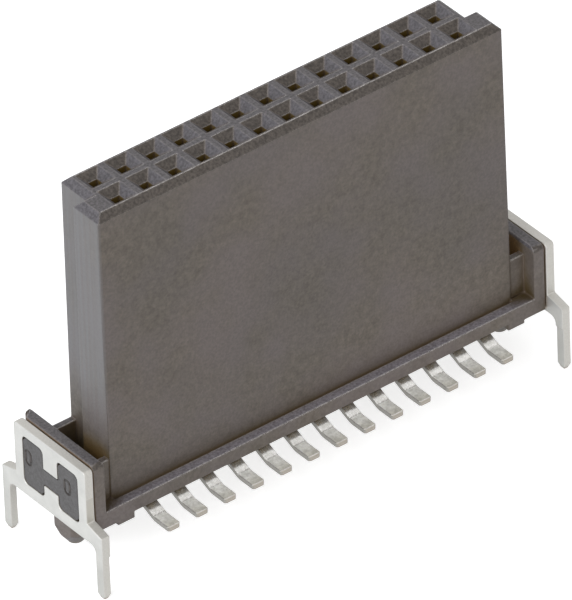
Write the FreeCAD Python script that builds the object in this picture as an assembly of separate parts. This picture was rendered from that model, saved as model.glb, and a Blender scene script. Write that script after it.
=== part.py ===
import FreeCAD, Part
import math
import os

from FreeCAD import Vector

os.makedirs("parts", exist_ok=True)

# Upright two-row socket for a circuit board, surface mounted, with a metal hold-down clip
# at each end. Millimetres. +X runs along the rows, -Y is the front, +Z points away from
# the board. The origin is the middle of the contact grid on the board's surface.

# Contact grid
columns = 13
pitch = 1.27
row_spacing = 1.27

# Tower that holds the contacts
tower_top = 13.40
top_chamfer = 0.27
draft = 0.05
front_wall = 0.34
back_wall = 0.36
long_end_margin = 1.455
short_end_margin = 0.91
step_y = 0.0

# Socket mouth above each contact
funnel_width = 1.03
funnel_length = 1.04
funnel_depth = 0.28
mouth_width = 0.40
mouth_length = 0.31
mouth_roof = 0.28

# Cavity round each contact
cavity_width = 0.85
cavity_length = 0.93

# Base
ledge_width = 0.61
ledge_top = 1.18
base_bottom = 0.62
groove_width = 0.13
groove_depth = 0.14

# End blocks with their pockets, webs, walls, feet and pegs
pocket_width = 0.69
pocket_floor = 0.92
web_thickness = 0.28
web_top = 2.87
wall_thickness = 0.485
wall_top = 3.40
wall_corner = 0.26
wall_back_reach = 0.14
wall_back_round = 0.40
wall_lip_chamfer = 0.08
end_block_margin = 0.90
end_block_bottom = 0.49
foot_length = 0.76
foot_depth = 0.30
foot_bottom = 0.36
peg_radius = 0.74
peg_inset = 0.55
peg_tip = -1.20
peg_taper = 0.60
peg_tip_radius = 0.30

# H-shaped boss that the clip is staked on
boss_edge_margin = 0.45
boss_column = 1.17
boss_bottom = 0.88
boss_top = 2.95
bar_bottom = 1.42
bar_top = 2.12
boss_chamfer = 0.18
boss_recess = 0.03
boss_fit = 0.02
stake_width = 0.42
stake_height = 0.70
stake_ring = 0.11
stake_depth = 0.05
stake_edge_gap = 0.25
stake_shift = 0.16
stake_z = 2.12

# Hold-down clip
clip_sheet = 0.37
clip_gap = 0.06
clip_overhang = 0.04
clip_top = 3.37
clip_bottom = 0.35
clip_corner = 0.16
window_corner = 0.22
arm_root_z = 1.13
arm_end_z = 0.92
leg_reach = 0.88
leg_width = 0.41
leg_sheet = 0.32
leg_top_fillet = 0.28
leg_start_drop = 0.34
leg_tip = -1.85
leg_shoulder = -1.64
leg_point_width = 0.22
leg_point_sheet = 0.18

# Contact
sheet = 0.20
back_gap = 0.03
side_gap = 0.02
barb_gap = 0.005
stem_width = 0.54
lead_tip = 3.17
lead_knee = 2.32
lead_angle = 23.0
knee_radius = 0.60
root_radius = 0.30
tip_chamfer = 0.07
tip_bevel = 0.05
barb_z = 2.00
barb_height = 0.60
barb_land = 0.15
box_bottom = 8.60
box_height = 1.10
box_fold = 0.12
wing_length = 0.30
beam_width = 0.46
beam_gap = 0.24
beam_radius = 0.80
beam_root = 0.35
beam_contact_drop = 0.52
beam_tip_drop = 0.14
beam_flare = 0.09
tail_clearance = 0.04

# Sizes that follow from those above
grid_half = (columns - 1) * pitch / 2
row_y = row_spacing / 2
tower_front = row_y + cavity_length / 2 + front_wall
tower_back = row_y + cavity_length / 2 + back_wall
long_end = grid_half + long_end_margin
short_end = grid_half + short_end_margin
funnel_bottom = tower_top - funnel_depth
cavity_top = funnel_bottom - mouth_roof
cavity_outer = row_y + cavity_length / 2
base_half = tower_front + ledge_width
wall_inner = long_end + pocket_width
wall_outer = wall_inner + wall_thickness
block_inner = grid_half + end_block_margin
clip_inner = wall_outer + clip_gap
clip_outer = clip_inner + clip_sheet
clip_half = base_half + clip_overhang
boss_half = base_half - boss_edge_margin
leg_start = clip_bottom - leg_start_drop
peg_x = wall_outer - peg_inset
strip_y = cavity_outer - back_gap - sheet / 2
slope = math.tan(math.radians(lead_angle))
root_z = sheet / 2 + (lead_knee - strip_y) * slope
root_turn = math.radians(90 - lead_angle)
bend_top = root_z + root_radius * math.tan(root_turn / 2)


# Block between two corners
def block(x0, x1, y0, y1, z0, z1):
    corner = Vector(min(x0, x1), min(y0, y1), min(z0, z1))
    return Part.makeBox(abs(x1 - x0), abs(y1 - y0), abs(z1 - z0), corner)


# Flat face inside straight lines through the corners
def flat_face(corners):
    return Part.Face(Part.makePolygon(corners + corners[:1]))


# Rectangle round a middle point, as its four corners
def rectangle(x, y, z, width, length):
    u, v = width / 2, length / 2
    return [Vector(x + a * u, y + b * v, z) for a, b in ((-1, -1), (1, -1), (1, 1), (-1, 1))]


# Solid between two outlines that have matching corners, with flat sides
def frustum(low, high):
    faces = [flat_face(low), flat_face(high)]
    for i in range(len(low)):
        faces.append(flat_face([low[i - 1], low[i], high[i], high[i - 1]]))
    solid = Part.Solid(Part.Shell(faces))
    return solid if solid.Volume > 0 else solid.reversed()


# Outline in the YZ plane, drawn out along X from x0 to x1
def plate(outline, x0, x1):
    return flat_face([Vector(x0, y, z) for y, z in outline]).extrude(Vector(x1 - x0, 0, 0))


# Edges of a solid that run along X, Y or Z through the given places
def edges_through(solid, axis, places):
    found = []
    for edge in solid.Edges:
        a, b = edge.Vertexes[0].Point, edge.Vertexes[-1].Point
        if (b - a).Length < 1e-6 or (b - a).cross(axis).Length > 1e-4:
            continue
        if any((a - spot).cross(axis).Length < 1e-4 for spot in places):
            found.append(edge)
    return found


# Line through two points of a flat drawing, moved sideways by d
def side_line(a, b, d):
    run = (b - a).normalize()
    across = Vector(-run.y, run.x, 0) * d
    return a + across, b + across


# Where two lines of a flat drawing cross
def crossing(first, second):
    p, r = first[0], first[1] - first[0]
    q, s = second[0], second[1] - second[0]
    t = ((q.x - p.x) * s.y - (q.y - p.y) * s.x) / (r.x * s.y - r.y * s.x)
    return p + r * t


# One side of a bent strip, d away from its middle line: runs of two points, arcs of three
def strip_side(points, radii, d):
    lines = [side_line(a, b, d) for a, b in zip(points, points[1:])]
    runs = []
    start = lines[0][0]
    for before, after, radius in zip(lines, lines[1:], radii):
        corner = crossing(before, after)
        into = (before[1] - before[0]).normalize()
        out = (after[1] - after[0]).normalize()
        half_turn = into.getAngle(out) / 2
        r = radius - d if into.cross(out).z > 0 else radius + d
        bisector = (out - into).normalize()
        first = corner - into * (r * math.tan(half_turn))
        last = corner + out * (r * math.tan(half_turn))
        middle = corner + bisector * (r / math.cos(half_turn) - r)
        runs += [(start, first), (first, middle, last)]
        start = last
    runs.append((start, lines[-1][1]))
    return runs


# Sheet bent along a middle line of (u, v) points. spot(u, v) gives a place in space,
# and sweep is the way and the distance that the strip is wide.
def bent_strip(points, radii, thickness, spot, sweep):
    flat = [Vector(u, v, 0) for u, v in points]
    left = strip_side(flat, radii, thickness / 2)
    right = strip_side(flat, radii, -thickness / 2)
    runs = left + right + [(left[0][0], right[0][0]), (left[-1][-1], right[-1][-1])]
    edges = []
    for run in runs:
        ends = [spot(p.x, p.y) for p in run]
        edges.append(Part.Arc(*ends).toShape() if len(ends) == 3 else Part.makeLine(*ends))
    return Part.Face(Part.Wire(Part.__sortEdges__(edges))).extrude(sweep)


# Outline of the tower: its front half is longer than its back half, so it fits one way only
def tower_outline(z, grow):
    front, back, step = -tower_front - grow, tower_back + grow, step_y + grow
    long_x, short_x = long_end + grow, short_end + grow
    right = [(long_x, front), (long_x, step), (short_x, step), (short_x, back)]
    left = [(-x, y) for x, y in reversed(right)]
    return [Vector(x, y, z) for x, y in right + left]


# Tower with drafted sides and a chamfer round its top
def tower():
    shoulder = tower_top - top_chamfer
    foot, neck = tower_outline(base_bottom, draft), tower_outline(shoulder, 0.0)
    return frustum(foot, neck).fuse(frustum(neck, tower_outline(tower_top, -top_chamfer)))


# Base slab with a groove at the foot of the tower's long faces
def base():
    slab = block(-wall_outer, wall_outer, -base_half, base_half, base_bottom, ledge_top)
    for face_y, side in ((tower_front, -1), (tower_back, 1)):
        inner = side * face_y
        outer = side * (face_y + draft + groove_width)
        slab = slab.cut(
            block(-long_end, long_end, inner, outer, ledge_top - groove_depth, ledge_top)
        )
    return slab


# Upright end wall: its front top corner is rounded, its back end is rounded off towards the
# outside, and the lip above the pocket is chamfered
def end_wall(side):
    back = base_half + wall_back_reach
    wall = block(side * wall_inner, side * wall_outer, -base_half, back, end_block_bottom, wall_top)
    wall = wall.makeFillet(wall_back_round, edges_through(
        wall, Vector(0, 0, 1), [Vector(side * wall_outer, back, 0)]))
    wall = wall.makeChamfer(wall_lip_chamfer, edges_through(
        wall, Vector(0, 1, 0), [Vector(side * wall_inner, 0, wall_top)]))
    return wall.makeFillet(wall_corner, edges_through(
        wall, Vector(1, 0, 0), [Vector(0, -base_half, wall_top)]))


# End block: wall, thicker underside, two webs to the tower and two feet
def end_block(side):
    underside = block(side * block_inner, side * wall_inner, -base_half, base_half,
                      end_block_bottom, base_bottom)
    pieces = [end_wall(side), underside]
    for face_y, y_side, end_x in ((tower_front, -1, long_end), (tower_back, 1, short_end)):
        web_y = y_side * (face_y - web_thickness)
        pieces.append(block(side * end_x, side * wall_inner, web_y, y_side * face_y,
                            base_bottom, web_top))
        foot_x = side * (block_inner + foot_length)
        pieces.append(block(side * block_inner, foot_x, y_side * base_half,
                            y_side * (base_half - foot_depth), foot_bottom, end_block_bottom))
    return pieces


# Deep pocket between the end of the tower, the end wall and the two webs
def pocket(side):
    front = -tower_front + web_thickness
    back = tower_back - web_thickness
    top = tower_top
    long_x = side * (long_end + draft)
    short_x = side * (short_end + draft)
    outer = block(long_x, side * wall_inner, front, back, pocket_floor, top)
    inner = block(short_x, side * wall_inner, step_y + draft, back, pocket_floor, top)
    return outer.fuse(inner)


# Locating peg under an end block, tapered at its tip and flat beside the clip
def peg(side):
    profile = [(0, peg_tip), (peg_tip_radius, peg_tip), (peg_radius, peg_tip + peg_taper),
               (peg_radius, end_block_bottom), (0, end_block_bottom)]
    face = flat_face([Vector(r, 0, z) for r, z in profile])
    shank = face.revolve(Vector(0, 0, 0), Vector(0, 0, 1), 360)
    shank.translate(Vector(side * peg_x, 0, 0))
    reach = 2 * peg_radius
    flat = block(side * wall_outer, side * (wall_outer + reach), -reach, reach,
                 peg_tip, end_block_bottom)
    return shank.cut(flat)


# H outline: two columns and a bar, grown outwards by grow
def h_outline(grow):
    inner = boss_half - boss_column - grow
    outer = boss_half + grow
    low, high = boss_bottom - grow, boss_top + grow
    bar_low, bar_high = bar_bottom - grow, bar_top + grow
    right = [(inner, low), (outer, low), (outer, high), (inner, high)]
    right = [(inner, bar_low)] + right + [(inner, bar_high)]
    return right + [(-y, z) for y, z in reversed(right)]


# H-shaped plate, and the edges at the four corners of each of its columns
def h_plate(grow, x0, x1):
    solid = plate(h_outline(grow), x0, x1)
    inner, outer = boss_half - boss_column - grow, boss_half + grow
    low, high = boss_bottom - grow, boss_top + grow
    corners = [Vector(0, side * y, z) for side in (-1, 1) for y in (inner, outer)
               for z in (low, high)]
    return solid, edges_through(solid, Vector(1, 0, 0), corners)


# Upright oval prism on the outer face of the boss
def oval(x0, x1, y, z, width, height):
    r, rise = width / 2, (height - width) / 2
    low, high = Vector(x0, y, z - rise), Vector(x0, y, z + rise)
    across, up = Vector(0, r, 0), Vector(0, 0, r)
    edges = [
        Part.Arc(low - across, low - up, low + across).toShape(),
        Part.makeLine(low + across, high + across),
        Part.Arc(high + across, high + up, high - across).toShape(),
        Part.makeLine(high - across, low - across),
    ]
    return Part.Face(Part.Wire(edges)).extrude(Vector(x1 - x0, 0, 0))


# Boss on an end wall, with the ring that the staking tool leaves on each column, a little
# towards the back
def boss(side):
    face = side * (clip_outer - boss_recess)
    solid, corners = h_plate(0.0, side * wall_outer, face)
    solid = solid.makeChamfer(boss_chamfer, corners)
    floor = face - side * stake_depth
    for y_side in (-1, 1):
        y = y_side * (boss_half - stake_edge_gap - stake_width / 2) + stake_shift
        ring = oval(floor, face, y, stake_z, stake_width, stake_height)
        island = oval(floor, face, y, stake_z, stake_width - 2 * stake_ring,
                      stake_height - 2 * stake_ring)
        solid = solid.cut(ring.cut(island))
    return solid


# Everything cut away round one contact: funnel, mouth, cavity and the slot for its tail
def socket(x, side):
    y = side * row_y
    u, v = mouth_width / 2, mouth_length / 2
    mouth = block(x - u, x + u, y - v, y + v, cavity_top, funnel_bottom)
    half = cavity_width / 2
    cavity = block(x - half, x + half, side * (cavity_outer - cavity_length),
                   side * cavity_outer, base_bottom, cavity_top)
    tail_top = sheet / math.cos(math.radians(lead_angle)) + tail_clearance
    slot_end = lead_knee - (base_bottom - tail_top) / slope
    slot = block(x - half, x + half, side * cavity_outer, side * slot_end,
                 base_bottom, bend_top + tail_clearance)
    funnel = frustum(rectangle(x, y, funnel_bottom, mouth_width, mouth_length),
                     rectangle(x, y, tower_top, funnel_width, funnel_length))
    return [funnel, mouth, cavity, slot]


# Housing: tower, base, end blocks, pegs and bosses moulded in one
def housing():
    pieces = [tower()]
    for side in (-1, 1):
        pieces += end_block(side) + [peg(side), boss(side)]
    body = base().fuse(pieces)
    cutters = []
    for index in range(columns):
        for side in (-1, 1):
            cutters += socket(index * pitch - grid_half, side)
    return body.cut(cutters + [pocket(-1), pocket(1)]).removeSplitter()


# Clip leg that tapers to a blunt point, standing on the side given by y_side
def clip_leg(side, y_side):
    x = side * (clip_outer - leg_sheet / 2)
    y = y_side * (base_half + leg_reach - leg_width / 2)
    shank = rectangle(x, y, leg_start, leg_sheet, leg_width)
    shoulder = rectangle(x, y, leg_shoulder, leg_sheet, leg_width)
    point = rectangle(x, y, leg_tip, leg_point_sheet, leg_point_width)
    return frustum(point, shoulder).fuse(frustum(shoulder, shank))


# Hold-down clip: stamped plate over the boss, with two arms that carry the legs
def hold_down(side):
    outer_y = base_half + leg_reach
    inner_y = outer_y - leg_width
    right = [(inner_y, clip_bottom), (inner_y, leg_start), (outer_y, leg_start),
             (outer_y, arm_end_z), (clip_half, arm_root_z), (clip_half, clip_top)]
    outline = right + [(-y, z) for y, z in reversed(right)]
    body = plate(outline, side * clip_inner, side * clip_outer)
    x_axis = Vector(1, 0, 0)
    tops = [Vector(0, y, clip_top) for y in (-clip_half, clip_half)]
    body = body.makeFillet(clip_corner, edges_through(body, x_axis, tops))
    crooks = [Vector(0, y, clip_bottom) for y in (-inner_y, inner_y)]
    body = body.makeFillet(leg_top_fillet, edges_through(body, x_axis, crooks))
    window, corners = h_plate(boss_fit, side * wall_outer, side * (clip_outer + clip_sheet))
    body = body.cut(window.makeFillet(window_corner, corners))
    return body.fuse([clip_leg(side, -1), clip_leg(side, 1)]).removeSplitter()


# Place in space of a drawing point for each of the two planes that strips are drawn in
def seen_from_end(y, z):
    return Vector(-stem_width / 2, y, z)


def seen_from_front(x, z):
    return Vector(x, row_y - beam_width / 2, z)


# Tail: down the cavity, out under the base and flat on the board, blunt at its tip
def contact_tail():
    points = [(strip_y, barb_z), (strip_y, root_z), (lead_knee, sheet / 2), (lead_tip, sheet / 2)]
    solid = bent_strip(points, [root_radius, knee_radius], sheet, seen_from_end,
                       Vector(stem_width, 0, 0))
    half = stem_width / 2
    corners = [Vector(x, lead_tip, 0) for x in (-half, half)]
    solid = solid.makeChamfer(tip_chamfer, edges_through(solid, Vector(0, 0, 1), corners))
    top = edges_through(solid, Vector(1, 0, 0), [Vector(0, lead_tip, sheet)])
    return solid.makeChamfer(tip_bevel, top)


# Stem: flat strip up the cavity, with a barb on each edge that grips the cavity's side wall
def contact_stem():
    half, tooth = stem_width / 2, cavity_width / 2 - barb_gap
    barb_top = barb_z + barb_height
    right = [(half, barb_z), (tooth, barb_top - barb_land), (tooth, barb_top),
             (half, barb_top), (half, box_bottom)]
    outline = right + [(-x, z) for x, z in reversed(right)]
    face = flat_face([Vector(x, strip_y - sheet / 2, z) for x, z in outline])
    return face.extrude(Vector(0, sheet, 0))


# Box: the strip widened and folded into a channel round the cavity
def contact_box():
    outer_x, outer_y = cavity_width / 2 - side_gap, strip_y + sheet / 2
    inner_x, inner_y = outer_x - sheet, outer_y - sheet
    front = row_y - wing_length
    right = [(inner_x, inner_y), (inner_x, front), (outer_x, front),
             (outer_x, outer_y - box_fold), (outer_x - box_fold, outer_y)]
    outline = right + [(-x, y) for x, y in reversed(right)]
    return flat_face([Vector(x, y, box_bottom) for x, y in outline]).extrude(
        Vector(0, 0, box_height))


# Spring beam: rises from the box, closes on the pin's path and flares at its tip
def contact_beam(side):
    root_x = cavity_width / 2 - side_gap - sheet / 2
    touch_x = (beam_gap + sheet) / 2
    box_top = box_bottom + box_height
    points = [
        (root_x, box_top - sheet),
        (root_x, box_top + beam_root),
        (touch_x, cavity_top - beam_contact_drop),
        (touch_x + beam_flare, cavity_top - beam_tip_drop),
    ]
    points = [(side * x, z) for x, z in points]
    return bent_strip(points, [beam_radius, beam_radius / 2], sheet, seen_from_front,
                      Vector(0, beam_width, 0))


# Contact of the back row at x = 0: one stamped and folded strip
def contact():
    pieces = [contact_stem(), contact_box(), contact_beam(-1), contact_beam(1)]
    return contact_tail().fuse(pieces).removeSplitter()


# Each piece goes to a file named after it
def save(name, solid):
    solid.exportStep("parts/" + name + ".step")


save("housing", housing())
save("hold_down_left", hold_down(-1))
save("hold_down_right", hold_down(1))

back_contact = contact()
front_contact = back_contact.copy()
front_contact.rotate(Vector(0, 0, 0), Vector(0, 0, 1), 180)
for index in range(columns):
    shift = Vector(index * pitch - grid_half, 0, 0)
    for row, shape in (("front", front_contact), ("back", back_contact)):
        save(f"contact_{row}_{index + 1:02d}", shape.translated(shift))
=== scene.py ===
import math

import bmesh
import bpy
from mathutils import Matrix, Vector

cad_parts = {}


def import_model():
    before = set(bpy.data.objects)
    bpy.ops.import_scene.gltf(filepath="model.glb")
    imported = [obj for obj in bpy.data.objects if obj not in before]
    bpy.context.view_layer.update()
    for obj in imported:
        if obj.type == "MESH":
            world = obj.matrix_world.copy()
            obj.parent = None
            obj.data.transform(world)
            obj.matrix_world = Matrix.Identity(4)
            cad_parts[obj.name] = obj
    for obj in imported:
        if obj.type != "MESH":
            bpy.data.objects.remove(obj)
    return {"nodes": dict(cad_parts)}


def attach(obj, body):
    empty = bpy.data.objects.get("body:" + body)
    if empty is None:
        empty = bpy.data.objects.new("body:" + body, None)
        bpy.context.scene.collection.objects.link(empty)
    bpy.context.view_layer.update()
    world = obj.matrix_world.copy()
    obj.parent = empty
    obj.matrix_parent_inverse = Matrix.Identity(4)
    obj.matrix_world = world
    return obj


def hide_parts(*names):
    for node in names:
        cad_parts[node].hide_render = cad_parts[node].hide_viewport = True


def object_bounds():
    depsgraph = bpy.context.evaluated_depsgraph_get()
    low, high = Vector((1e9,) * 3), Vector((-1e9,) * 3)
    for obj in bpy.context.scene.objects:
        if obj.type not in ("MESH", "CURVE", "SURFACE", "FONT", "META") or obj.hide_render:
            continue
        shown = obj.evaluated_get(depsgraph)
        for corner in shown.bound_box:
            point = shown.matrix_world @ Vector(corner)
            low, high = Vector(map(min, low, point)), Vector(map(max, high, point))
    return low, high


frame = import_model()
cad_low, cad_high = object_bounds()

# Metres. The part stands on the tips of its clip legs, and the board would lie at z = 0.
MM = 0.001
CONTACTS = sorted(name for name in frame["nodes"] if name.startswith("contact_"))
CLIPS = ("hold_down_left", "hold_down_right")

# Edge rounding, in millimetres. The housing has its own widths for the upright edges of the tower,
# for the thin lip round the sockets and for the rest.
WIDEST = 0.09
CORNER_EDGE = 0.09
MOULD_EDGE = 0.035
LIP_EDGE = 0.006
CLIP_EDGE = 0.04
CONTACT_EDGE = 0.025
EDGE_SEGMENTS = 2
WELD = 0.0002
SHARP = math.radians(30)
FLAT = math.radians(0.5)

# Where those edges of the housing are, in millimetres: depth of the lip and of the chamfer under
# it, half widths of the lip and of the cavities, length of the cavities' block, shortest edge that
# is rounded, and shortest upright edge that is a corner of the tower
LIP_DEPTH = 0.01
CHAMFER_DEPTH = 0.8
LIP_HALF = 1.16
CAVITY_HALF = 1.11
CAVITY_END = 8.1
SHORTEST = 0.1
CORNER_HEIGHT = 3.5

# Places on the housing: heights between which the end faces grow lighter, partly by painted sheen,
# height up to which the front and back faces are a little paler, height under which the ledges lie,
# and heights between which the painted brown shade in the corners beside the end walls fades out
DRAWN_SHEEN_FROM = 3.2 * MM
DRAWN_SHEEN_FULL = 6.0 * MM
PALE_TO = 5.0 * MM
LEDGE_TOP = 1.3 * MM
LEDGE_FADE = 0.1 * MM
CORNER_SHADE_FULL = 1.25 * MM
CORNER_SHADE_NONE = 2.0 * MM

# Distances from the middle along X to the gap behind a clip, to the outer part of a boss, and to
# where the painted brown shade in the corners begins
GAP_FROM = 10.25 * MM
BOSS_FACE = 10.50 * MM
FACE_FADE = 0.02 * MM
CORNER_SHADE_FROM = 8.6 * MM

# The end pockets lie between two distances along X and within one distance along Y
POCKET_FROM = 9.1 * MM
POCKET_TO = 10.0 * MM
POCKET_HALF = 1.25 * MM
POCKET_START = 0.05 * MM
POCKET_FADE = 0.1 * MM

# Sizes of the resin's mottling, from fine to wide, and of its streaks along the height
GRAIN = 0.06 * MM
FLECK = 0.10 * MM
BLOTCH = 0.30 * MM
DRIFT = 2.2 * MM
SLOW = 5.0 * MM
STREAK = 0.14 * MM
STREAK_STRETCH = (1, 1, 60)

# How far the painted shade of hollows and creases reaches, and how wide the painted highlight along
# an edge is
HOLLOW_REACH = 1.3 * MM
CREASE_REACH = 0.14 * MM
EDGE_HIGHLIGHT_REACH = 0.09 * MM

# Colours of the resin, where two are the ends of its mottling
FACE = (0.073, 0.0615, 0.050, 1), (0.103, 0.0875, 0.073, 1)
FACE_DRIFT = (0.099, 0.084, 0.080, 1)
# Lighter colour of the end faces: drawn streaks, partly painted sheen
FACE_DRAWN_AND_SHEEN = (0.148, 0.148, 0.154, 1)
FRONT_SLANT = (0.030, 0.024, 0.019, 1), (0.092, 0.077, 0.066, 1)
SIDE_SLANT = (0.050, 0.046, 0.052, 1), (0.115, 0.107, 0.118, 1)
TOP_FACE = (0.051, 0.047, 0.050, 1), (0.133, 0.124, 0.132, 1)
# Ledges, painted lighter than the other tops as painted light from above
LEDGE_PAINTED_LIGHT = (0.125, 0.115, 0.132, 1), (0.265, 0.247, 0.275, 1)
STAKED_FACE = (0.050, 0.047, 0.047, 1), (0.076, 0.073, 0.074, 1)
# Painted highlight along the edges that catch the light
EDGE_HIGHLIGHT_PAINT = (0.72, 0.68, 0.66, 1)
# Browns painted as shade in hollows, in the corners beside the end walls and in creases, darkest in
# the creases of the bosses
HOLLOW_SHADE_BROWN = (0.125, 0.079, 0.012, 1)
CORNER_SHADE_BROWN = (0.058, 0.038, 0.012, 1)
CREASE_SHADE_BROWN = (0.105, 0.074, 0.052, 1)
CREASE_SHADE_BOSS = (0.018, 0.014, 0.011, 1)

# Painted brown shade of the pockets, from their mouth to their depth, and of the left and the right
# gap
POCKET_SHADE_BROWN = (0.125, 0.076, 0.026, 1), (0.72, 0.43, 0.19, 1)
GAP_SHADE_BROWN = (0.19, 0.130, 0.080, 1), (0.78, 0.52, 0.26, 1)

# Factors by which patches, low faces and flecks are lighter
PATCH_FACTOR = (1.11, 1.09, 1.07, 1)
LOW_FACTOR = (1.20, 1.20, 1.20, 1)
FLECK_FACTOR = (1.28, 1.28, 1.28, 1)

# Clips: band on the cut edges where the metal broke off instead of being sheared, heights between
# which the plate turns into the duller legs, sizes of the mottling, and colours
BREAK_LOW = 1.15 * MM
BREAK_HIGH = 2.15 * MM
BREAK_FADE = 0.03 * MM
LEG_FULL = -0.6 * MM
LEG_NONE = 0.6 * MM
TIN_GRAIN = 0.07 * MM
TIN_CLOUD = 0.7 * MM
TIN_REACH = 0.5 * MM
TIN_FACE = (0.52, 0.52, 0.50, 1), (0.585, 0.583, 0.56, 1)
TIN_CUT = (0.50, 0.485, 0.45, 1), (0.58, 0.565, 0.53, 1)
TIN_BROKEN = (0.48, 0.46, 0.415, 1)
# Painted shade in the clips' hollows
TIN_HOLLOW_SHADE = (0.14, 0.09, 0.05, 1)
LEG_FACTOR = (0.86, 0.86, 0.85, 1)

# Contacts: height above which they are gold, height under which they are the flat foot of a lead,
# distances from the middle between which a foot grows duller, sizes of the mottling, and colours
GOLD_FROM = 8.2 * MM
GOLD_FADE = 0.5 * MM
FOOT_TOP = 0.24 * MM
FOOT_FADE = 0.04 * MM
TIP_FROM = 2.6 * MM
TIP_TO = 3.1 * MM
STRIP_GRAIN = 0.09 * MM
STRIP_CLOUD = 0.25 * MM
STRIP_REACH = 0.5 * MM
STRIP_FACE = (0.84, 0.83, 0.80, 1), (0.98, 0.97, 0.95, 1)
STRIP_FOOT = (0.78, 0.77, 0.725, 1), (0.98, 0.97, 0.92, 1)
STRIP_END = (0.42, 0.38, 0.325, 1)
STRIP_SIDE = (0.28, 0.27, 0.245, 1)
# Painted shade in the contacts' hollows
STRIP_HOLLOW_SHADE = (0.16, 0.09, 0.03, 1)
GOLD = (0.86, 0.60, 0.24, 1)
TIP_FACTOR = (0.74, 0.72, 0.67, 1)
GRAIN_FACTOR = (0.68, 0.67, 0.64, 1)

# Camera of the photograph, whose frame is 572 by 600
AZIMUTH = -36.798
ELEVATION = 36.486
ROLL = 2.214
DISTANCE = 462.04 * MM
AIM_RIGHT = 0.055 * MM
AIM_UP = -6.770 * MM
AIM_HEIGHT = 13.12 * MM
NEAREST = 10 * MM
FARTHEST = 5000 * MM
SENSOR = 36.0
LENS = 783.9

# Light and surroundings. A lamp has a name, azimuth, elevation, distance and size in millimetres,
# level and colour.
COOL = (0.94, 0.965, 1.0)
WARM = (1.0, 0.97, 0.93)
LAMPS = (
    ("left_lamp", 80, 30, 300, 220, 0.80, COOL),
    ("front_lamp", 5, 35, 320, 300, 0.17, WARM),
    ("top_lamp", 180, 75, 320, 200, 0.10, COOL),
)
WHITE = (1.0, 1.0, 1.0, 1.0)
SKY = 0.42
SKY_SEEN = 1.0
FLOOR_COLOUR = (0.80, 0.80, 0.80, 1)
FLOOR_GLOW = 0.64
FLOOR_HALF = 600 * MM


# A node with its settings and its unlinked input values
def add(tree, kind, inputs=None, **settings):
    made = tree.nodes.new(kind)
    for key, value in settings.items():
        setattr(made, key, value)
    for key, value in (inputs or {}).items():
        made.inputs[key].default_value = value
    return made


# Noise in the part's own frame, with features about size across, longer where stretch is
def noise(tree, size, detail=3.0, roughness=0.5, stretch=(1, 1, 1)):
    where = add(tree, "ShaderNodeTexCoord")
    squeeze = add(tree, "ShaderNodeMapping", {"Scale": [1 / s for s in stretch]})
    made = add(tree, "ShaderNodeTexNoise", {
        "Scale": 1.0 / size, "Detail": detail, "Roughness": roughness,
    })
    tree.links.new(where.outputs["Object"], squeeze.inputs["Vector"])
    tree.links.new(squeeze.outputs["Vector"], made.inputs["Vector"])
    return made.outputs["Fac"]


# Value moved from one range to another
def remap(tree, value, low, high, to_low, to_high):
    made = add(tree, "ShaderNodeMapRange", {
        "From Min": low, "From Max": high, "To Min": to_low, "To Max": to_high,
    })
    tree.links.new(value, made.inputs["Value"])
    return made.outputs["Result"]


# 0 to 1, and 1 to 0, while a value goes from low to high
def rise(tree, value, low, high):
    return remap(tree, value, low, high, 0.0, 1.0)


def fall(tree, value, low, high):
    return remap(tree, value, low, high, 1.0, 0.0)


# Colour between two, by a factor. Two plain values blend to a grey, which is read as a value.
def blend(tree, factor, first, second, mode="MIX"):
    made = add(tree, "ShaderNodeMix", data_type="RGBA", blend_type=mode)
    sockets = made.inputs[0], made.inputs[6], made.inputs[7]
    for socket, value in zip(sockets, (factor, first, second)):
        if isinstance(value, bpy.types.NodeSocket):
            tree.links.new(value, socket)
        else:
            socket.default_value = value
    return made.outputs[2]


# Colour multiplied by another, as far as a factor says
def tint(tree, factor, colour, by):
    return blend(tree, factor, colour, by, "MULTIPLY")


# Product of values
def times(tree, first, second, *others):
    made = add(tree, "ShaderNodeMath", operation="MULTIPLY")
    tree.links.new(first, made.inputs[0])
    tree.links.new(second, made.inputs[1])
    return times(tree, made.outputs[0], *others) if others else made.outputs[0]


# Size of a value without its sign
def absolute(tree, value):
    made = add(tree, "ShaderNodeMath", operation="ABSOLUTE")
    tree.links.new(value, made.inputs[0])
    return made.outputs[0]


# X, Y and Z of a vector, of the direction that a face looks in, and of the place
def parts(tree, vector):
    made = add(tree, "ShaderNodeSeparateXYZ")
    tree.links.new(vector, made.inputs[0])
    return made.outputs


def facing(tree):
    return parts(tree, add(tree, "ShaderNodeNewGeometry").outputs["True Normal"])


def place(tree):
    return parts(tree, add(tree, "ShaderNodeTexCoord").outputs["Object"])


# 0 in the open and 1 deep in a hollow, for places that the light hardly reaches
def hollow(tree, reach, open_level, deep_level):
    made = add(tree, "ShaderNodeAmbientOcclusion", {"Distance": reach}, samples=8)
    return fall(tree, made.outputs["AO"], deep_level, open_level)


# Normal of a rounded edge, and how near a point is to an edge: 0 on a flat face, 1 at the edge
def soft_edge(tree, reach):
    made = add(tree, "ShaderNodeBevel", {"Radius": reach}, samples=8)
    flat = add(tree, "ShaderNodeNewGeometry")
    dot = add(tree, "ShaderNodeVectorMath", operation="DOT_PRODUCT")
    tree.links.new(made.outputs["Normal"], dot.inputs[0])
    tree.links.new(flat.outputs["True Normal"], dot.inputs[1])
    return made.outputs["Normal"], fall(tree, dot.outputs["Value"], 0.93, 0.995)


# Bump from a height, chained onto an earlier normal
def bump(tree, height, strength, distance, normal=None):
    made = add(tree, "ShaderNodeBump", {"Strength": strength, "Distance": distance})
    tree.links.new(height, made.inputs["Height"])
    if normal is not None:
        tree.links.new(normal, made.inputs["Normal"])
    return made.outputs["Normal"]


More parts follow.
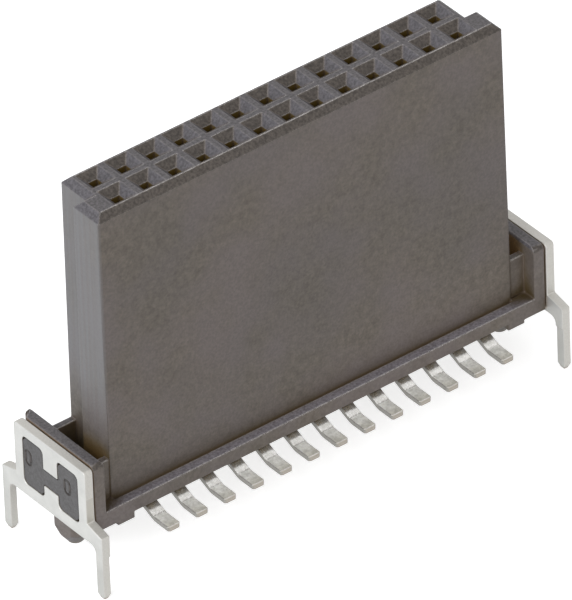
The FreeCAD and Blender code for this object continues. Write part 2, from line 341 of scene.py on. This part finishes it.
# Material with an empty node tree
def bare(name):
    material = bpy.data.materials.new(name)
    material.use_nodes = True
    material.node_tree.nodes.clear()
    return material, material.node_tree


# Material with a surface shader, ready for links
def surface(name, **inputs):
    material, tree = bare(name)
    levels = {key.replace("_", " "): value for key, value in inputs.items()}
    shader = add(tree, "ShaderNodeBsdfPrincipled", levels)
    output = add(tree, "ShaderNodeOutputMaterial")
    tree.links.new(shader.outputs["BSDF"], output.inputs["Surface"])
    return material, tree, shader


# Moulded resin: warm dark grey and mottled. Faces that look up are bluer and coarser, slanted ones
# darker, and the ledges lighter, as painted light from above. The tower's end faces are faintly
# drawn along their height, partly with painted sheen, and the staked bosses are dull. Edges get a
# painted highlight, most of all those that run along the part, and hollows get painted brown shade.
def moulded_resin():
    material, tree, shader = surface("moulded_resin", Metallic=0.0, IOR=1.5, Specular_IOR_Level=0.4)
    grain = noise(tree, GRAIN, 3.0, 0.6)
    fleck = noise(tree, FLECK, 2.0, 0.6)
    blotch = noise(tree, BLOTCH, 3.0, 0.6)
    drift = noise(tree, DRIFT, 2.0, 0.5)
    slow = noise(tree, SLOW, 1.0, 0.5)
    streak = noise(tree, STREAK, 2.0, 0.5, STREAK_STRETCH)
    speck = rise(tree, fleck, 0.34, 0.66)
    where, aim = place(tree), facing(tree)
    far_x, far_y = absolute(tree, where["X"]), absolute(tree, where["Y"])
    sideways = absolute(tree, aim["X"])

    # Upright faces
    base = blend(tree, rise(tree, blotch, 0.35, 0.65), *FACE)
    base = blend(tree, remap(tree, drift, 0.36, 0.66, 0.0, 0.9), base, FACE_DRIFT)
    base = tint(tree, rise(tree, slow, 0.38, 0.62), base, PATCH_FACTOR)
    low_face = times(tree, absolute(tree, aim["Y"]), fall(tree, where["Z"], LEDGE_TOP, PALE_TO))
    base = tint(tree, low_face, base, LOW_FACTOR)
    base = tint(tree, speck, base, FLECK_FACTOR)
    # End faces above the bosses are lighter: drawn streaks and partly painted sheen
    drawn_and_sheen = times(tree, sideways, rise(tree, where["Z"], DRAWN_SHEEN_FROM, DRAWN_SHEEN_FULL),
                  remap(tree, streak, 0.3, 0.7, 0.45, 0.90))
    colour = blend(tree, drawn_and_sheen, base, FACE_DRAWN_AND_SHEEN)

    # Slanted faces, tops and ledges
    for axis, slant in (("Y", FRONT_SLANT), ("X", SIDE_SLANT)):
        tilt = absolute(tree, times(tree, aim[axis], aim["Z"]))
        coarse = blend(tree, speck, *slant)
        colour = blend(tree, remap(tree, tilt, 0.2, 0.45, 0.0, 0.9), colour, coarse)
    # The ledges get a lighter colour than the other tops: painted light from above
    ledge_light_mask = fall(tree, where["Z"], LEDGE_TOP, LEDGE_TOP + LEDGE_FADE)
    top = blend(tree, ledge_light_mask, blend(tree, speck, *TOP_FACE), blend(tree, speck, *LEDGE_PAINTED_LIGHT))
    colour = blend(tree, remap(tree, aim["Z"], 0.9, 0.99, 0.0, 0.85), colour, top)

    # Painted highlight along edges, and staked bosses
    normal, edge = soft_edge(tree, EDGE_HIGHLIGHT_REACH)
    turned = parts(tree, normal)
    painted_edge_highlight = times(tree, edge, rise(tree, turned["Z"], 0.1, 0.6),
                   remap(tree, absolute(tree, turned["X"]), 0.05, 0.3, 1.0, 0.25),
                   remap(tree, grain, 0.38, 0.58, 0.35, 1.0))
    colour = blend(tree, painted_edge_highlight, colour, EDGE_HIGHLIGHT_PAINT)
    on_boss = rise(tree, far_x, BOSS_FACE, BOSS_FACE + FACE_FADE)
    staked = blend(tree, speck, *STAKED_FACE)
    colour = blend(tree, times(tree, on_boss, sideways), colour, staked)

    # Painted brown shade in the hollows: the sockets, the pockets, the gaps behind the clips, the
    # corners and the creases
    outside = rise(tree, far_x, GAP_FROM - FACE_FADE, GAP_FROM)
    within = times(tree, rise(tree, far_x, POCKET_FROM, POCKET_FROM + POCKET_START),
                   fall(tree, far_x, POCKET_TO, POCKET_TO + POCKET_FADE),
                   fall(tree, far_y, POCKET_HALF, POCKET_HALF + POCKET_FADE))
    pocket = blend(tree, hollow(tree, HOLLOW_REACH, 0.30, 0.08), *POCKET_SHADE_BROWN)
    gap = blend(tree, rise(tree, where["X"], -MM, MM), *GAP_SHADE_BROWN)
    brown = blend(tree, outside, blend(tree, within, HOLLOW_SHADE_BROWN, pocket), gap)
    colour = blend(tree, hollow(tree, HOLLOW_REACH, 0.60, 0.20), colour, brown)
    corner = times(tree, rise(tree, far_x, CORNER_SHADE_FROM, POCKET_FROM),
                   fall(tree, where["Z"], CORNER_SHADE_FULL, CORNER_SHADE_NONE),
                   hollow(tree, HOLLOW_REACH, 0.75, 0.45))
    colour = blend(tree, corner, colour, CORNER_SHADE_BROWN)
    crease = blend(tree, on_boss, blend(tree, outside, CREASE_SHADE_BROWN, gap), CREASE_SHADE_BOSS)
    colour = blend(tree, hollow(tree, CREASE_REACH, 0.95, 0.45), colour, crease)

    tree.links.new(colour, shader.inputs["Base Color"])
    tree.links.new(remap(tree, grain, 0.3, 0.7, 0.42, 0.58), shader.inputs["Roughness"])
    normal = bump(tree, blotch, 0.4, 0.012 * MM, normal)
    tree.links.new(bump(tree, fleck, 0.4, 0.008 * MM, normal), shader.inputs["Normal"])
    return material


# Matte tin on the stamped clips: duller on the legs and on the cut edges, most of all where the
# metal of the left clip broke, and painted shade in hollows
def matte_tin():
    material, tree, shader = surface("matte_tin", Metallic=0.6)
    grain = noise(tree, TIN_GRAIN, 3.0, 0.6)
    cloud = noise(tree, TIN_CLOUD, 2.0, 0.5)
    where = place(tree)
    colour = blend(tree, rise(tree, cloud, 0.3, 0.7), *TIN_FACE)
    colour = tint(tree, fall(tree, where["Z"], LEG_FULL, LEG_NONE), colour, LEG_FACTOR)
    broken = times(tree, rise(tree, where["Z"], BREAK_LOW, BREAK_LOW + BREAK_FADE),
                   fall(tree, where["Z"], BREAK_HIGH, BREAK_HIGH + BREAK_FADE),
                   fall(tree, where["X"], -MM, MM))
    dull = blend(tree, broken, blend(tree, rise(tree, grain, 0.3, 0.7), *TIN_CUT), TIN_BROKEN)
    cut = fall(tree, absolute(tree, facing(tree)["X"]), 0.2, 0.8)
    colour = blend(tree, cut, colour, dull)
    # Painted shade in hollows
    colour = blend(tree, hollow(tree, TIN_REACH, 0.6, 0.1), colour, TIN_HOLLOW_SHADE)
    tree.links.new(colour, shader.inputs["Base Color"])
    tree.links.new(remap(tree, grain, 0.3, 0.7, 0.46, 0.58), shader.inputs["Roughness"])
    tree.links.new(bump(tree, grain, 0.25, 0.004 * MM), shader.inputs["Normal"])
    return material


# Plated strip of the contacts: shiny tin on the bends, duller on the flat feet, most of all at
# their tips, and on cut ends and sides, with painted shade in hollows. The box and the spring beams
# are gold.
def plated_strip():
    material, tree, shader = surface("plated_strip")
    grain = noise(tree, STRIP_GRAIN, 3.0, 0.6)
    cloud = noise(tree, STRIP_CLOUD, 2.0, 0.5)
    patch = rise(tree, cloud, 0.35, 0.65)
    where, aim = place(tree), facing(tree)
    foot = times(tree, fall(tree, where["Z"], FOOT_TOP, FOOT_TOP + FOOT_FADE),
                 rise(tree, aim["Z"], 0.93, 0.99))
    tip = rise(tree, absolute(tree, where["Y"]), TIP_FROM, TIP_TO)
    flat = tint(tree, tip, blend(tree, patch, *STRIP_FOOT), TIP_FACTOR)
    tin = blend(tree, foot, blend(tree, patch, *STRIP_FACE), flat)
    tin = tint(tree, remap(tree, grain, 0.38, 0.62, 0.55, 0.0), tin, GRAIN_FACTOR)
    cut = fall(tree, absolute(tree, aim["Z"]), 0.75, 0.88)
    tin = blend(tree, cut, tin, blend(tree, absolute(tree, aim["X"]), STRIP_END, STRIP_SIDE))
    # Painted shade in hollows
    tin = blend(tree, hollow(tree, STRIP_REACH, 0.40, 0.10), tin, STRIP_HOLLOW_SHADE)
    colour = blend(tree, rise(tree, where["Z"], GOLD_FROM, GOLD_FROM + GOLD_FADE), tin, GOLD)
    metal = times(tree, remap(tree, foot, 0.0, 1.0, 0.80, 0.15),
                  remap(tree, cut, 0.0, 1.0, 1.0, 0.35))
    rough = blend(tree, foot, remap(tree, grain, 0.3, 0.7, 0.16, 0.26),
                  remap(tree, grain, 0.3, 0.7, 0.34, 0.46))
    tree.links.new(colour, shader.inputs["Base Color"])
    tree.links.new(metal, shader.inputs["Metallic"])
    tree.links.new(rough, shader.inputs["Roughness"])
    tree.links.new(bump(tree, grain, 0.3, 0.006 * MM), shader.inputs["Normal"])
    return material


# 1 for a ray from the camera, a reflection or glass, and 0 for light that bounces
def seen_directly(tree):
    path = add(tree, "ShaderNodeLightPath")
    total = path.outputs["Is Camera Ray"]
    for name in ("Is Glossy Ray", "Is Transmission Ray"):
        either = add(tree, "ShaderNodeMath", operation="MAXIMUM")
        tree.links.new(total, either.inputs[0])
        tree.links.new(path.outputs[name], either.inputs[1])
        total = either.outputs[0]
    return total


# Pale floor: white to the camera and in reflections, and it keeps the part's shadow
def floor_white():
    material, tree = bare("floor_white")
    plain = add(tree, "ShaderNodeBsdfDiffuse", {"Color": FLOOR_COLOUR})
    glow = add(tree, "ShaderNodeEmission", {"Color": WHITE, "Strength": FLOOR_GLOW})
    lifted = add(tree, "ShaderNodeAddShader")
    tree.links.new(plain.outputs[0], lifted.inputs[0])
    tree.links.new(glow.outputs[0], lifted.inputs[1])
    mix = add(tree, "ShaderNodeMixShader")
    tree.links.new(seen_directly(tree), mix.inputs[0])
    tree.links.new(plain.outputs[0], mix.inputs[1])
    tree.links.new(lifted.outputs[0], mix.inputs[2])
    output = add(tree, "ShaderNodeOutputMaterial")
    tree.links.new(mix.outputs[0], output.inputs["Surface"])
    return material


# White surroundings, which light the part less than they look
def world():
    made = bpy.data.worlds.new("studio")
    bpy.context.scene.world = made
    made.use_nodes = True
    tree = made.node_tree
    tree.nodes.clear()
    sky = add(tree, "ShaderNodeBackground", {"Color": WHITE, "Strength": SKY})
    seen = add(tree, "ShaderNodeBackground", {"Color": WHITE, "Strength": SKY_SEEN})
    mix = add(tree, "ShaderNodeMixShader")
    tree.links.new(seen_directly(tree), mix.inputs[0])
    tree.links.new(sky.outputs[0], mix.inputs[1])
    tree.links.new(seen.outputs[0], mix.inputs[2])
    output = add(tree, "ShaderNodeOutputWorld")
    tree.links.new(mix.outputs[0], output.inputs["Surface"])


# Object in the scene
def put(name, data):
    made = bpy.data.objects.new(name, data)
    bpy.context.scene.collection.objects.link(made)
    return made


# Soft square lamp that faces the part. Level is what it adds to a white card facing it.
def lamp(name, azimuth, elevation, distance, size, level, colour):
    data = bpy.data.lights.new(name, "AREA")
    data.color = colour
    data.shape = "SQUARE"
    data.size = size
    data.energy = level * (math.pi * distance) ** 2
    made = put(name, data)
    a, e = math.radians(azimuth), math.radians(elevation)
    away = Vector((-math.sin(a) * math.cos(e), -math.cos(a) * math.cos(e), math.sin(e)))
    middle = (cad_low + cad_high) / 2
    made.location = middle + away * distance
    made.rotation_mode = "QUATERNION"
    made.rotation_quaternion = away.to_track_quat("Z", "Y")


# The photograph's camera
def camera():
    a, e, roll = (math.radians(v) for v in (-AZIMUTH, ELEVATION, ROLL))
    right = Vector((math.cos(a), -math.sin(a), 0))
    forward = Vector((math.sin(a) * math.cos(e), math.cos(a) * math.cos(e), -math.sin(e)))
    up = right.cross(forward)
    data = bpy.data.cameras.new("camera")
    data.sensor_width = SENSOR
    data.lens = LENS
    data.clip_start = NEAREST
    data.clip_end = FARTHEST
    made = put("camera", data)
    spot = right * AIM_RIGHT + up * AIM_UP - forward * DISTANCE
    spot.z += AIM_HEIGHT
    across = right * math.cos(roll) - up * math.sin(roll)
    over = right * math.sin(roll) + up * math.cos(roll)
    turn = Matrix((across, over, -forward)).transposed()
    made.matrix_world = Matrix.Translation(spot) @ turn.to_4x4()
    bpy.context.scene.camera = made


# Moves what a rounded corner pushed outside the CAD piece's own box back onto the box
def keep_inside(mesh, source):
    for axis in range(3):
        levels = [vertex.co[axis] for vertex in source.vertices]
        low, high = min(levels), max(levels)
        for vertex in mesh.vertices:
            vertex.co[axis] = min(max(vertex.co[axis], low), high)


# Mesh of a CAD piece with its sharp edges rounded. It is worked on in millimetres, and width_of
# gives how wide the rounding of an edge is from its two ends.
def rounded_mesh(source, width_of, merge_flat):
    mesh = bmesh.new()
    mesh.from_mesh(source)
    bmesh.ops.scale(mesh, vec=Vector((1 / MM,) * 3), verts=mesh.verts)
    bmesh.ops.remove_doubles(mesh, verts=mesh.verts, dist=WELD)
    if merge_flat:
        bmesh.ops.dissolve_limit(mesh, angle_limit=FLAT, verts=mesh.verts, edges=mesh.edges)
    weight = mesh.edges.layers.float.new("bevel_weight_edge")
    for edge in mesh.edges:
        if len(edge.link_faces) == 2 and edge.calc_face_angle() > SHARP:
            edge[weight] = width_of(edge.verts[0].co, edge.verts[1].co) / WIDEST
    work = bpy.data.meshes.new("work")
    mesh.to_mesh(work)
    mesh.free()
    for face in work.polygons:
        face.use_smooth = True
    bench = put("bench", work)
    bevel = bench.modifiers.new("edges", "BEVEL")
    bevel.limit_method = "WEIGHT"
    bevel.width = WIDEST
    bevel.segments = EDGE_SEGMENTS
    bevel.use_clamp_overlap = False
    bevel.miter_outer = "MITER_ARC"
    flat = bench.modifiers.new("flat_faces_stay_flat", "WEIGHTED_NORMAL")
    flat.weight = 100
    bpy.context.view_layer.update()
    shown = bench.evaluated_get(bpy.context.evaluated_depsgraph_get())
    made = bpy.data.meshes.new_from_object(shown)
    made.transform(Matrix.Scale(MM, 4))
    keep_inside(made, source)
    bpy.data.objects.remove(bench)
    bpy.data.meshes.remove(work)
    return made


# Widths in millimetres. The lip round the sockets is thin, so its edges are nearly sharp, and the
# edges inside the cavities stay as they are.
def housing_width(a, b):
    top = cad_high.z / MM
    low, high = min(a.z, b.z), max(a.z, b.z)
    far_x, far_y = max(abs(a.x), abs(b.x)), max(abs(a.y), abs(b.y))
    if low > top - LIP_DEPTH or (low > top - CHAMFER_DEPTH and far_y < LIP_HALF):
        return LIP_EDGE
    if (far_y < CAVITY_HALF and far_x < CAVITY_END) or (a - b).length < SHORTEST:
        return 0.0
    return CORNER_EDGE if high - low > CORNER_HEIGHT else MOULD_EDGE


def clip_width(a, b):
    return CLIP_EDGE


def contact_width(a, b):
    return CONTACT_EDGE


# Finished piece that stands in a CAD piece's place
def finished(node, mesh, material):
    mesh.materials.clear()
    mesh.materials.append(material)
    made = put(node + "_finished", mesh)
    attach(made, "root")
    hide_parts(node)


# Plain floor under the clip legs
def floor():
    mesh = bpy.data.meshes.new("floor")
    sides = ((-1, -1), (1, -1), (1, 1), (-1, 1))
    corners = [(x * FLOOR_HALF, y * FLOOR_HALF, cad_low.z) for x, y in sides]
    mesh.from_pydata(corners, [], [(0, 1, 2, 3)])
    mesh.materials.append(floor_white())
    made = put("floor", mesh)


bpy.context.scene.view_settings.view_transform = "Standard"
for names, width_of, merge_flat, material, slot in (
    (("housing",), housing_width, False, moulded_resin(), "housing_plastic"),
    (CLIPS, clip_width, True, matte_tin(), "clip_metal"),
    (CONTACTS, contact_width, True, plated_strip(), "contact_metal"),
):
    for name in names:
        mesh = rounded_mesh(frame["nodes"][name].data, width_of, merge_flat)
        finished(name, mesh, material)
floor()
world()
for name, azimuth, elevation, distance, size, level, colour in LAMPS:
    lamp(name, azimuth, elevation, distance * MM, size * MM, level, colour)
camera()
